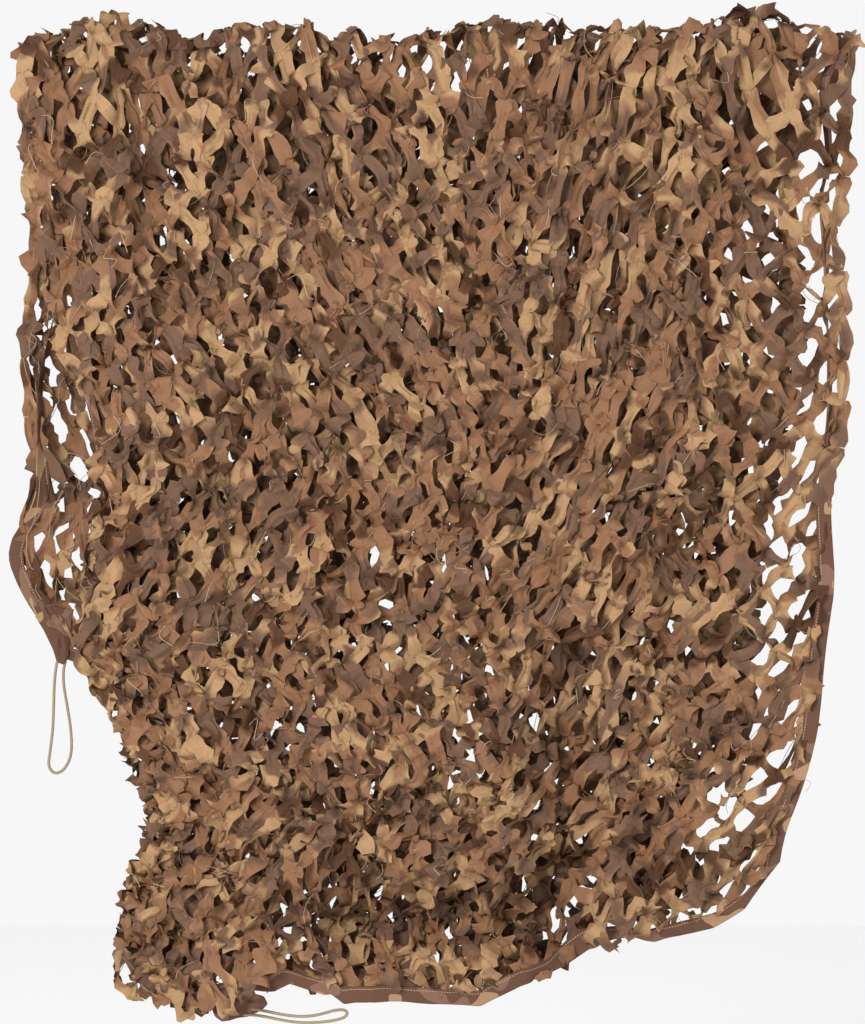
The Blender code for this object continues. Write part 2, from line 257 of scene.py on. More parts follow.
def front_fall(share, down):
    """Points of the front fall. share runs from the left edge to the right one, down from the
    crown to the hem. The left margin turns back behind the front in a round fold."""
    length = np.interp(share, FRONT_HEM["share"], FRONT_HEM["drop"])
    drop = CROWN_RADIUS + down * (length - CROWN_RADIUS)
    left, right = read(FRONT, "left", drop), read(FRONT, "right", drop)
    turned = read(FRONT, "turned", drop)
    radius = TURN_RADIUS * np.clip(turned / TURN_SPACE, 0.01, 1)
    width = right - left
    from_fold = share * (width + turned) - turned
    bend = np.sqrt(from_fold**2 + radius**2)
    x = left + width * (bend - radius) / (np.sqrt(width**2 + radius**2) - radius)
    behind = TURN_SPACE / 2 * (1 - from_fold / bend) * np.clip(turned / TURN_SPACE, 0, 1)
    y = -read(FRONT, "forward", drop) - relief(FRONT_FOLDS, x, drop) + behind
    return np.stack([x, y, -drop + fading_lift(x, drop)], axis=-1)


def crown(share, turn):
    """Points of the crown, which turns half round the line from front to back."""
    left, right = read(FRONT, "left", CROWN_RADIUS), read(FRONT, "right", CROWN_RADIUS)
    x = left + share * (right - left)
    y = -CROWN_RADIUS * np.cos(math.pi * turn)
    z = -CROWN_RADIUS * (1 - np.sin(math.pi * turn)) + crown_lift(x)
    return np.stack([x, y, z], axis=-1)


def back_fall(share, down):
    """Points of the back fall, from the crown to its own hem."""
    length = np.interp(share, BACK_HEM["share"], BACK_HEM["drop"])
    drop = CROWN_RADIUS + down * (length - CROWN_RADIUS)
    left, right = read(BACK, "left", drop), read(BACK, "right", drop)
    x = left + share * (right - left)
    y = read(BACK, "behind", drop) + relief(BACK_FOLDS, x, drop)
    return np.stack([x, y, -drop + fading_lift(x, drop)], axis=-1)


# How widely the cuts stand across the cloth: they are pulled open beside the edge tapes and
# bunched together between them.
SPREAD = table(
    "share weight",
    [(0.00, 0.74), (0.06, 0.80), (0.10, 0.86), (0.50, 0.84), (0.89, 0.86), (0.94, 1.20), (1.00, 1.30)],
)
# The same down the cloth: the rows crowd together above the front hem.
ROW_SPREAD = table("path weight", [(0.00, 0.72), (0.20, 0.78), (0.30, 0.95), (0.60, 1.05), (1.00, 1.20)])


# How far inside the net's outline the cloth stops at each side, down each fall. Where the tape
# is twisted out of sight the leaves reach the outline itself.
EDGE_INSET = table(
    "drop front_left front_right back_left back_right",
    [
        (0.00, 0.000, 0.000, 0.002, 0.010),
        (0.50, 0.000, 0.000, 0.002, 0.021),
        (0.60, 0.008, 0.000, 0.004, 0.021),
        (0.70, 0.012, 0.020, 0.021, 0.021),
        (1.15, 0.014, 0.021, 0.021, 0.021),
        (1.30, 0.026, 0.021, 0.021, 0.021),
        (1.50, 0.026, 0.021, 0.021, 0.021),
    ],
)


def hung_place(share, path, inset=None):
    """Points of the hung cloth, from the front hem (path 0) over the crown to the back hem. An
    inset measures in from the outline, and without one the cloth stops inside the tapes."""
    steps = np.linspace(0, 1, 201)
    spread = np.cumsum(np.interp(steps, SPREAD["share"], SPREAD["weight"]))
    share = np.interp(share, steps, (spread - spread[0]) / (spread[-1] - spread[0]))
    down = np.cumsum(np.interp(steps, ROW_SPREAD["path"], ROW_SPREAD["weight"]))
    path = np.interp(path, steps, (down - down[0]) / (down[-1] - down[0]))
    front = np.interp(share, FRONT_HEM["share"], FRONT_HEM["drop"]) - CROWN_RADIUS
    back = np.interp(share, BACK_HEM["share"], BACK_HEM["drop"]) - CROWN_RADIUS
    over = math.pi * CROWN_RADIUS
    hem = TAPE_WIDTH - 0.004 if inset is None else inset
    run = hem + path * (front + over + back - 2 * hem)
    is_front = run < front + over / 2
    drop = np.where(is_front, front - run, run - front - over) + CROWN_RADIUS
    margin = []
    for side in ("left", "right"):
        on_front = np.interp(drop, EDGE_INSET["drop"], EDGE_INSET["front_" + side])
        on_back = np.interp(drop, EDGE_INSET["drop"], EDGE_INSET["back_" + side])
        margin.append((np.where(is_front, on_front, on_back) if inset is None else inset) / 1.2)
    share = margin[0] + share * (1 - margin[0] - margin[1])
    on_front = front_fall(share, np.clip(1 - run / front, 0, 1))
    turn = np.clip((run - front) / over, 0, 1)
    on_crown = crown(share, turn)
    on_back = back_fall(share, np.clip((run - front - over) / back, 0, 1))
    place = np.where((run < front)[..., None], on_front, on_crown)
    return np.where((run > front + over)[..., None], on_back, place)


def waves(at_row, at_column, row_step, column_step):
    """Smooth seeded waves from -1 to 1 over the cloth."""
    at_row, at_column = at_row / row_step, at_column / column_step
    height = rng.uniform(-1, 1, (int(at_row.max()) + 2, int(at_column.max()) + 2))
    r, c = at_row.astype(int), at_column.astype(int)
    fr, fc = at_row - r, at_column - c
    fr, fc = fr * fr * (3 - 2 * fr), fc * fc * (3 - 2 * fc)
    low = height[r, c] * (1 - fc) + height[r, c + 1] * fc
    high = height[r + 1, c] * (1 - fc) + height[r + 1, c + 1] * fc
    return low * (1 - fr) + high * fr


def unit(vectors):
    return vectors / np.linalg.norm(vectors, axis=-1, keepdims=True)


def turned_about(vectors, axis, angle):
    angle = angle[..., None]
    return vectors * np.cos(angle) + np.cross(axis, vectors) * np.sin(angle)


rng = np.random.default_rng(4)
Y_LIMITS = (cad_box[0][1] - 0.013, cad_box[1][1] + 0.013)

# How far the leaves stand up off the crown along it.
CROWN_LEAVES = table(
    "x lift",
    [
        (-0.63, -0.004), (-0.55, 0.006), (-0.49, 0.020), (-0.40, 0.004), (-0.10, 0.002), (-0.02, 0.008),
        (0.10, 0.014), (0.25, 0.016), (0.40, 0.018), (0.47, 0.026), (0.55, 0.014), (0.64, 0.004),
    ],
)


# How far the lowest leaves hang down over the front hem along it.
HEM_LEAVES = table(
    "x hang",
    [
        (-0.55, 0.014), (-0.38, 0.022), (-0.33, 0.034), (-0.28, 0.030), (-0.255, 0.006),
        (0.12, 0.006), (0.16, 0.024), (0.27, 0.024), (0.30, 0.000), (0.60, 0.000),
    ],
)


def open_net(cuts, rows, share_span, path_span, tucked):
    """The junctions of a length of opened cloth, where the straps between its cuts meet and the
    cloth is tied to its string mesh, and which junctions each strap joins. tucked is how far the
    length is folded in behind the face of the net."""
    row = np.repeat(np.arange(rows + 1), cuts + 1)
    column = np.minimum(np.tile(np.arange(cuts + 1.0), rows + 1) + 0.5 * (row % 2), cuts)
    share = share_span[0] + column / cuts * (share_span[1] - share_span[0])
    path = path_span[0] + row / rows * (path_span[1] - path_span[0])
    step = 0.004
    place = hung_place(share, path)
    aside = hung_place(np.minimum(share + step, 1), path) - hung_place(np.maximum(share - step, 0), path)
    onward = hung_place(share, np.minimum(path + step, 1)) - hung_place(share, np.maximum(path - step, 0))
    outward = unit(np.cross(aside, onward))
    bunched = np.interp(share, SPREAD["share"], 1.45 - SPREAD["weight"])
    rise = 0.026 * bunched * waves(row, column, 3.9, 1.6) + rng.uniform(-0.008, 0.008, len(share)) - tucked
    inner = (row > 0) & (row < rows) & (column > 0) & (column < cuts) | (tucked > 0)
    loose = np.where(inner, 1.0, np.where((row == 0) | (row == rows), 0.0, 0.5))[:, None]
    place += outward * rise[:, None] * np.where(inner, 1.0, 0.15)[:, None]
    place += rng.uniform(-0.008, 0.008, place.shape) * loose
    hang = np.interp(place[:, 0], HEM_LEAVES["x"], HEM_LEAVES["hang"]) * (tucked == 0)
    hang = hang * np.interp(row, [0, 1, 2], [1.0, 0.5, 0.0])
    place[:, 2] -= hang * rng.uniform(0.4, 1.1, len(share))
    place[:, 1] -= hang * rng.uniform(0.4, 0.9, len(share))
    near_crown = np.exp(-(((place[:, 2] + 0.01) / 0.05) ** 2)) * (tucked == 0)
    place[:, 2] += near_crown * np.interp(place[:, 0], CROWN_LEAVES["x"], CROWN_LEAVES["lift"])
    here = np.arange(len(row))
    odd, in_row = row % 2 == 1, here % (cuts + 1)
    first, last = [], []
    for shift in (0, 1):
        other = here + cuts + 1 + shift * np.where(odd, 1, -1)
        real = (row < rows) & (other // (cuts + 1) == row + 1) & ~(odd & (in_row == cuts))
        other = np.where(real, other, 0)
        real &= ~((row[other] % 2 == 1) & (in_row[other] == cuts))
        first.append(here[real])
        last.append(other[real])
    for side in (0, cuts):
        along_edge = here[(in_row == side) & ~odd & (row < rows - 1)]
        first.append(along_edge)
        last.append(along_edge + 2 * (cuts + 1))
    first, last = np.concatenate(first), np.concatenate(last)
    return {
        "place": place,
        "outward": outward,
        "facing": unit(outward + rng.normal(0, 0.45, place.shape)),
        "flat": np.stack([column * CUT_WIDTH, row * CUT_HEIGHT], axis=-1),
        "row": row,
        "first": first,
        "last": last,
    }


SECTIONS = np.array([0, 0.13, 0.28, 0.42, 0.58, 0.72, 0.87, 1])
KEYS = [0, 0.35, 0.65, 1]
ACROSS = np.array([-1, -0.5, 0, 0.5, 1])


def straps(net, widen=1.0):
    """The straps and their leaf lobes. Each is pinched at its two junctions, broad between them,
    and folded twice, and its lobes curl out of it."""
    first, last, junction, outward, flat = (net[n] for n in ("first", "last", "place", "outward", "flat"))
    junction_facing = net["facing"]
    count = len(first)
    start, end = junction[first], junction[last]
    direction = unit(end - start)
    facing = unit(outward[first] + outward[last])
    reach = np.linalg.norm(end - start, axis=1)
    slack = np.clip(1.25 * 0.040 / reach, 0.4, 1.4)[:, None]
    lean = rng.normal(0, 1, (count, 2))
    lean = np.where(rng.uniform(0, 1, (count, 1)) < 0.25, lean * 1.3, lean * 0.6)
    bow = rng.uniform(-0.004, 0.011, (count, 1)) + rng.uniform(-0.004, 0.004, (count, 2))
    drift = rng.normal(0, 0.003, (count, 2, 3))
    along = (end - start)[:, None]
    centre = np.stack([start, start, start, end], axis=1)
    centre[:, 1:3] += along * np.array([0.35, 0.65])[None, :, None] + drift
    centre[:, 1:3] += facing[:, None] * (bow * slack)[..., None]
    base = unit(np.cross(facing, direction))
    cross = np.empty((count, 4, 3))
    cross[:, 0] = unit(np.cross(junction_facing[first], direction))
    cross[:, 3] = unit(np.cross(junction_facing[last], direction))
    cross[:, 1] = turned_about(base, direction, lean[:, 0])
    cross[:, 2] = turned_about(base, direction, lean[:, 0] * 0.5 + lean[:, 1] * 0.7)
    steps = len(SECTIONS)
    line, side = np.empty((count, steps, 3)), np.empty((count, steps, 3))
    for n, at in enumerate(SECTIONS):
        key = min(int(np.searchsorted(KEYS, at, "right")) - 1, 2)
        mix = (at - KEYS[key]) / (KEYS[key + 1] - KEYS[key])
        line[:, n] = centre[:, key] * (1 - mix) + centre[:, key + 1] * mix
        side[:, n] = cross[:, key] * (1 - mix) + cross[:, key + 1] * mix
    over = unit(np.cross(direction[:, None], side))
    # Most straps flare towards their junctions between two curved cuts, and the rest are even bands
    # or broadest in the middle. Where a cut ends, a pointed or square tab is left standing out.
    broad = rng.uniform(0.0085, 0.0120, (count, 1))
    flare = broad * np.array([[0.92, 1.28, 1.02, 0.80, 0.80, 1.02, 1.28, 0.92]])
    band = broad * np.array([[0.90, 1.05, 1.05, 1.00, 1.00, 1.05, 1.05, 0.90]])
    leaf = broad * np.array([[0.55, 0.85, 1.15, 1.30, 1.30, 1.15, 0.85, 0.55]])
    kind = rng.uniform(0, 1, (count, 1))
    plain = np.where(kind < 0.58, flare, np.where(kind < 0.92, band, leaf)) * widen
    half = []
    for _ in range(2):
        tab = np.where(rng.uniform(0, 1, (count, 1)) < 0.48, rng.uniform(0.004, 0.014, (count, 1)), 0)
        at = SECTIONS[rng.integers(1, len(SECTIONS) - 2, (count, 1))] + rng.choice([0, 0.07], (count, 1))
        half.append(plain + tab * np.clip(1.6 - np.abs(SECTIONS[None] - at) / 0.10, 0, 1))
    width = np.stack([half[0], half[0], half[0], half[1], half[1]], axis=-1) * ACROSS
    curl = rng.normal(0.0, 0.0020, (count, 1, 2)) + 0.001
    curl = np.concatenate([curl[..., :1]] * 3 + [curl[..., 1:]] * 2, axis=-1)
    crease = rng.choice([-1, 1], (count, 1)) * rng.uniform(0, 0.0044, (count, 1)) * np.sin(math.pi * SECTIONS)
    lift = curl * (width / 0.016) ** 2
    lift[..., 2] += crease
    place = line[:, :, None] + side[:, :, None] * width[..., None] + over[:, :, None] * lift[..., None]
    np.clip(place[..., 1], Y_LIMITS[0], Y_LIMITS[1], out=place[..., 1])
    flat_along = (flat[last] - flat[first])[:, None]
    flat_side = unit(np.stack([flat_along[..., 1], -flat_along[..., 0]], axis=-1))
    cut = flat[first][:, None, None] + flat_along[:, :, None] * SECTIONS[None, :, None, None]
    cut = cut + flat_side[:, :, None] * width[..., None]
    return place, cut


def smooth_piece(name, mesh):
    """A new piece from a finished mesh, smooth but for its creases."""
    piece = bpy.data.objects.new(name, mesh)
    bpy.context.collection.objects.link(piece)
    bpy.ops.object.select_all(action="DESELECT")
    piece.select_set(True)
    bpy.context.view_layer.objects.active = piece
    bpy.ops.object.shade_smooth_by_angle(angle=CREASE_ANGLE)
    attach(piece, "root")
    return piece


def cloth_piece(name, net, low_row, high_row):
    """One length of the hung cloth, with its place in the flat cloth as its UV map."""
    rows = net["row"][net["first"]]
    pick = (rows >= low_row) & (rows < high_row)
    place, cut = net["strap_place"][pick], net["strap_cut"][pick]
    count, steps, wide = place.shape[:3]
    number = np.arange(count * steps * wide).reshape(count, steps, wide)
    faces = [number[:, :-1, :-1], number[:, :-1, 1:], number[:, 1:, 1:], number[:, 1:, :-1]]
    faces = np.stack(faces, axis=-1).reshape(-1, 4)
    mesh = bpy.data.meshes.new(name)
    mesh.from_pydata(place.reshape(-1, 3).tolist(), [], faces.tolist())
    uv = mesh.uv_layers.new(name="cut")
    uv.data.foreach_set("uv", np.float32(cut.reshape(-1, 2)[faces.ravel()]).ravel())
    strap = mesh.uv_layers.new(name="strap")
    local = np.stack(np.broadcast_arrays(SECTIONS[None, :, None], ACROSS[None, None]), axis=-1)
    local = np.broadcast_to(local, (count, steps, wide, 2)).reshape(-1, 2)
    strap.data.foreach_set("uv", np.float32(local[faces.ravel()]).ravel())
    piece = smooth_piece(name, mesh)
    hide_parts("leaf_cloth")
    return piece


face_net = open_net(CUTS_ACROSS, CUT_ROWS, (0, 1), (0, 1), 0)
face_net["strap_place"], face_net["strap_cut"] = straps(face_net)
# Between its open sides the net is gathered, and a length of it lies folded in behind its face.
FOLD_CUTS, FOLD_ROWS = 28, 48
FOLD_SHARE, FOLD_PATH = (0.045, 0.950), (0.006, 0.660)
FOLD_TUCK, FOLD_WIDEN = 0.030, 1.48
fold_net = open_net(FOLD_CUTS, FOLD_ROWS, FOLD_SHARE, FOLD_PATH, FOLD_TUCK)
middle = (fold_net["place"][fold_net["first"]] + fold_net["place"][fold_net["last"]]) / 2
open_places = table(
    "x z width height",
    [
        (0.02, -0.79, 0.04, 0.05), (0.03, -0.94, 0.03, 0.03), (0.05, -1.06, 0.03, 0.05),
        (0.41, -1.19, 0.06, 0.07),
    ],
)
clear = np.ones(len(middle), bool)
for x, z, width, height in zip(*open_places.values()):
    clear &= ((middle[:, 0] - x) / width) ** 2 + ((middle[:, 2] - z) / height) ** 2 > 1
fold_net["first"], fold_net["last"] = fold_net["first"][clear], fold_net["last"][clear]
fold_net["strap_place"], fold_net["strap_cut"] = straps(fold_net, FOLD_WIDEN)


class Value:
    """A node socket that can be written into an expression."""

    def __init__(self, tree, socket):
        self.tree, self.socket = tree, socket

    def node(self, kind, inputs=(), out=0, **settings):
        """A new node with these settings and inputs, a number, colour or Value each."""
        node = self.tree.nodes.new(kind)
        for key, value in settings.items():
            setattr(node, key, value)
        for key, value in dict(inputs).items():
            if isinstance(value, Value):
                self.tree.links.new(value.socket, node.inputs[key])
            else:
                node.inputs[key].default_value = value
        return Value(self.tree, node.outputs[out])

    def maths(self, operation, *values):
        return self.node("ShaderNodeMath", dict(enumerate(values)), operation=operation)

    def __add__(self, other):
        return self.maths("ADD", self, other)

    def __mul__(self, other):
        return self.maths("MULTIPLY", self, other)

    def __sub__(self, other):
        return self.maths("SUBTRACT", self, other)

    def __rsub__(self, other):
        return self.maths("SUBTRACT", other, self)

    def __gt__(self, other):
        return self.maths("GREATER_THAN", self, other)

    __radd__ = __add__
    __rmul__ = __mul__


def new_material(name, roughness):
    material = bpy.data.materials.new(name)
    material.use_nodes = True
    tree = material.node_tree
    shader = tree.nodes["Principled BSDF"]
    shader.inputs["Roughness"].default_value = roughness
    return material, Value(tree, shader.outputs[0]), shader


# The print: four earth colours in crisp blots, on a weave too fine to see but as a soft grain.
SAND = (0.298, 0.179, 0.090, 1)
ROSE = (0.190, 0.095, 0.050, 1)
MAUVE = (0.120, 0.066, 0.041, 1)
DARK = (0.070, 0.032, 0.016, 1)
printed, start, shader = new_material("printed_leaf_cloth", 0.72)
cut = start.node("ShaderNodeUVMap", uv_map="cut")
wander = start.node("ShaderNodeTexNoise", {"Vector": cut, "Scale": 30.0, "Detail": 2.0}, out=1)
bent = start.node("ShaderNodeVectorMath", {0: wander, 1: (0.5, 0.5, 0.5)}, operation="SUBTRACT")
bent = start.node("ShaderNodeVectorMath", {0: bent, "Scale": 0.03}, operation="SCALE")
bent = start.node("ShaderNodeVectorMath", {0: bent, 1: cut}, operation="ADD")
blot = start.node("ShaderNodeTexNoise", {"Vector": bent, "Scale": 10.0, "Detail": 1.0})
second = start.node("ShaderNodeVectorMath", {0: bent, 1: (7.3, 3.1, 0.0)}, operation="ADD")
second = start.node("ShaderNodeTexNoise", {"Vector": second, "Scale": 11.5, "Detail": 1.0})
third = start.node("ShaderNodeVectorMath", {0: bent, 1: (1.7, 9.2, 0.0)}, operation="ADD")
third = start.node("ShaderNodeTexNoise", {"Vector": third, "Scale": 11.0, "Detail": 1.0})


def mixed(factor, below, above):
    return start.node("ShaderNodeMix", {0: factor, 6: below, 7: above}, out=2, data_type="RGBA")


def over(noise, level):
    """1 where the noise is over the level and 0 below it, with a soft edge a few millimetres wide."""
    steep = 24.0
    inputs = {0: noise, 1: steep, 2: 0.5 - level * steep}
    return start.node("ShaderNodeMath", inputs, operation="MULTIPLY_ADD", use_clamp=True)


colour = mixed(over(blot, 0.47), SAND, ROSE)
colour = mixed(over(second, 0.54), colour, MAUVE)
colour = mixed(over(third, 0.62), colour, DARK)
grain = start.node("ShaderNodeTexNoise", {"Vector": cut, "Scale": 240.0, "Detail": 2.0})
shade = 0.86 + grain * 0.28
colour = start.node("ShaderNodeVectorMath", {0: colour, "Scale": shade}, operation="SCALE")
start.tree.links.new(colour.socket, shader.inputs["Base Color"])
weave = start.node("ShaderNodeTexNoise", {"Vector": cut, "Scale": 900.0, "Detail": 1.0})
# Fine wrinkles fan out from where each strap is pinched at its junctions.
strap = start.node("ShaderNodeUVMap", uv_map="strap")
along_strap = start.node("ShaderNodeSeparateXYZ", {"Vector": strap})
across_strap = start.node("ShaderNodeSeparateXYZ", {"Vector": strap}, out=1)
from_middle = start.maths("ABSOLUTE", along_strap * 2.0 - 1.0)
fan = start.maths("SINE", across_strap * 11.0 + grain * 9.0) * start.maths("POWER", from_middle, 1.6)
height = fan * 0.7 + weave * 0.25
bump = start.node("ShaderNodeBump", {"Height": height, "Strength": 0.6, "Distance": 0.0009})
start.tree.links.new(bump.socket, shader.inputs["Normal"])
shader.inputs["Specular IOR Level"].default_value = 0.1

for name, low_row, high_row in (
    ("lower_leaf_cloth", 0, 22),
    ("upper_leaf_cloth", 22, 43),
    ("back_leaf_cloth", 43, CUT_ROWS),
):
    piece = cloth_piece(name, face_net, low_row, high_row)
    piece.data.materials.append(printed)
folds = cloth_piece("folded_leaf_cloth", fold_net, 0, FOLD_ROWS)
folds.data.materials.append(printed)


# ---------------------------------------------------------------------------------------------
# The string mesh. Thin twisted polyester string runs behind the cloth from junction to junction,
# knotted at each, and carries its weight. Broken and untrimmed ends curl out of the gaps.
STRING_RADIUS = 0.00055
STRING_SIDES = 3
HELD_SHARE = 0.38           # of the straps have a string seen behind them
LOOSE_ENDS = 260


def string_tubes(routes):
    """The faces of thin strings that follow these routes, (strings, points, 3)."""
    count, steps = routes.shape[:2]
    run = unit(np.gradient(routes, axis=1) + 1e-9)
    helper = unit(np.cross(run, np.array([0.3, 1.0, 0.2])))
    other = np.cross(run, helper)
    rings = []
    for side in range(STRING_SIDES):
        angle = 2 * math.pi * side / STRING_SIDES
        rings.append(routes + STRING_RADIUS * (helper * math.cos(angle) + other * math.sin(angle)))
    points = np.stack(rings, axis=2)
    number = np.arange(points[..., 0].size).reshape(count, steps, STRING_SIDES)
    onward = np.roll(number, -1, axis=2)
    faces = np.stack([number[:, :-1], onward[:, :-1], onward[:, 1:], number[:, 1:]], axis=-1)
    return points.reshape(-1, 3), faces.reshape(-1, 4)


chosen = rng.uniform(0, 1, len(face_net["first"])) < HELD_SHARE
starts = face_net["place"][face_net["first"][chosen]] - 0.003 * face_net["outward"][face_net["first"][chosen]]
ends = face_net["place"][face_net["last"][chosen]] - 0.003 * face_net["outward"][face_net["last"][chosen]]
along = np.linspace(0, 1, 6)[None, :, None]
sag = rng.normal(0, 0.005, (len(starts), 1, 3)) + np.array([0, 0, -0.003])
held_strings = starts[:, None] * (1 - along) + ends[:, None] * along + sag * 4 * along * (1 - along)

# The loose ends: each leaves a junction and curls down in front of the cloth.
from_junction = rng.choice(np.flatnonzero(face_net["row"] > 1), LOOSE_ENDS, replace=False)
reach = rng.uniform(0.025, 0.070, (LOOSE_ENDS, 1, 1))
along = np.linspace(0, 1, 10)[None, :, None]
aim = face_net["outward"][from_junction] * 0.5 + rng.normal(0, 0.6, (LOOSE_ENDS, 3))
aim = unit(aim + np.array([0, 0, -0.7]))[:, None]
bend = unit(np.cross(aim, rng.normal(0, 1, (LOOSE_ENDS, 1, 3))))
turns = rng.uniform(0.6, 2.6, (LOOSE_ENDS, 1, 1))
loose_strings = (
    face_net["place"][from_junction][:, None]
    + face_net["outward"][from_junction][:, None] * 0.004
    + aim * reach * along * 0.75
    + bend * reach * 0.22 * np.sin(turns * math.pi * along)
)
np.clip(loose_strings[..., 1], Y_LIMITS[0], Y_LIMITS[1], out=loose_strings[..., 1])
string_points, string_faces = [], []
for routes in (held_strings, loose_strings):
    points, faces = string_tubes(routes)
    string_faces.append(faces + sum(len(p) for p in string_points))
    string_points.append(points)
mesh = bpy.data.meshes.new("string_mesh")
mesh.from_pydata(np.vstack(string_points).tolist(), [], np.vstack(string_faces).tolist())
string = smooth_piece("string_mesh", mesh)
twisted, start, shader = new_material("twisted_string", 0.75)
place_on = start.node("ShaderNodeTexCoord", out=3)
fibre = start.node("ShaderNodeTexNoise", {"Vector": place_on, "Scale": 160.0, "Detail": 1.0})
colour = start.node(
    "ShaderNodeMix", {0: fibre, 6: (0.20, 0.135, 0.08, 1), 7: (0.40, 0.29, 0.18, 1)}, out=2, data_type="RGBA"
)
start.tree.links.new(colour.socket, shader.inputs["Base Color"])
string.data.materials.append(twisted)


# ---------------------------------------------------------------------------------------------
# The edge tapes. Printed polyester tape folded over the cut edges of the cloth and sewn down along
# its inner side: one tape down each side, over the crown, and one along each hem.
TAPE_HALF_THICK = 0.0013
TAPE_LIP = 0.001
TAPE_STEPS = 260
# How far the side tapes are rolled over, in degrees, down each fall.
TAPE_ROLL = table(
    "drop front_left front_right back_left back_right",
    [
        (0.00, 112, 120, 100, 10),
        (0.18, 112, 110, 96, 5),
        (0.22, 105, 76, 92, 0),
        (0.40, 100, 80, 90, 0),
        (0.56, 85, 70, 80, 0),
        (0.63, 60, 40, 62, 0),
        (0.69, 20, 0, 0, 0),
        (1.50, 0, 0, 0, 0),
    ],
)


def tape_piece(name, node, inner, outer, away, roll, wave):
    """A folded tape whose open side follows one line and whose fold follows the other, rolled
    inwards about its open side."""
    lie = unit(outer - inner)
    up = unit(away - lie * np.sum(away * lie, axis=1, keepdims=True))
    angle = np.radians(roll)[:, None]
    out_way = lie * np.cos(angle) - up * np.sin(angle)
    thick_way = up * np.cos(angle) + lie * np.sin(angle)
    reach = np.linalg.norm(outer - inner, axis=1)[:, None]
    section = [
        (0.0, 1.25), (0.3, 1.1), (0.65, 1.05), (0.93, 0.9), (1.0, 0.0),
        (0.93, -0.9), (0.65, -1.05), (0.3, -1.1), (0.0, -1.25),
    ]
    count, sides = len(inner), len(section)
    points = np.empty((count, sides, 3))
    for n, (share, height) in enumerate(section):
        ripple = wave[:, None] * math.sin(math.pi * min(share, 0.9))
        points[:, n] = inner + out_way * reach * share + thick_way * (height * TAPE_HALF_THICK + ripple)
    np.clip(points[..., 1], Y_LIMITS[0] - 0.001, Y_LIMITS[1] + 0.001, out=points[..., 1])
    number = np.arange(count * sides).reshape(count, sides)
    onward = np.roll(number, -1, axis=1)
    faces = np.stack([number[:-1], number[1:], onward[1:], onward[:-1]], axis=-1).reshape(-1, 4).tolist()
    faces += [number[0].tolist(), number[-1][::-1].tolist()]
    mesh = bpy.data.meshes.new(name)
    mesh.from_pydata(points.reshape(-1, 3).tolist(), [], faces)
    length = np.concatenate([[0], np.cumsum(np.linalg.norm(np.diff(inner, axis=0), axis=1))])
    across = np.array([share * TAPE_WIDTH for share, _ in section])
    uv = mesh.uv_layers.new(name="along")
    at = np.stack([np.repeat(length, sides), np.tile(across, count)], axis=-1)
    corners = np.array([loop.vertex_index for loop in mesh.loops])
    uv.data.foreach_set("uv", np.float32(at[corners]).ravel())
    piece = smooth_piece(name, mesh)
    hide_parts(node)
    return piece


woven, start, shader = new_material("printed_tape", 0.75)
shader.inputs["Specular IOR Level"].default_value = 0.1
along_tape = start.node("ShaderNodeUVMap", uv_map="along")
parts = start.node("ShaderNodeSeparateXYZ", {"Vector": along_tape})
across_tape = start.node("ShaderNodeSeparateXYZ", {"Vector": along_tape}, out=1)
blot = start.node("ShaderNodeTexNoise", {"Vector": along_tape, "Scale": 19.0, "Detail": 1.0})
other = start.node("ShaderNodeVectorMath", {0: along_tape, 1: (3.3, 7.7, 0.0)}, operation="ADD")
other = start.node("ShaderNodeTexNoise", {"Vector": other, "Scale": 17.0, "Detail": 1.0})
colour = mixed(blot > 0.56, (0.096, 0.047, 0.030, 1), (0.160, 0.088, 0.058, 1))
colour = mixed(other > 0.62, colour, (0.270, 0.165, 0.090, 1))
stitch_across = start.maths("COMPARE", across_tape, 0.0040, 0.0006)
stitch_along = start.maths("FRACT", parts * 220.0)
stitched = stitch_across * (1 - (stitch_along > 0.62))
colour = mixed(stitched, colour, (0.33, 0.23, 0.15, 1))
start.tree.links.new(colour.socket, shader.inputs["Base Color"])
ribs = start.maths("SINE", parts * 5200.0)
cross_ribs = start.maths("SINE", across_tape * 5200.0)
height = ribs * cross_ribs * 0.5 + stitched * 2.0
bump = start.node("ShaderNodeBump", {"Height": height, "Strength": 0.35, "Distance": 0.0003})
start.tree.links.new(bump.socket, shader.inputs["Normal"])

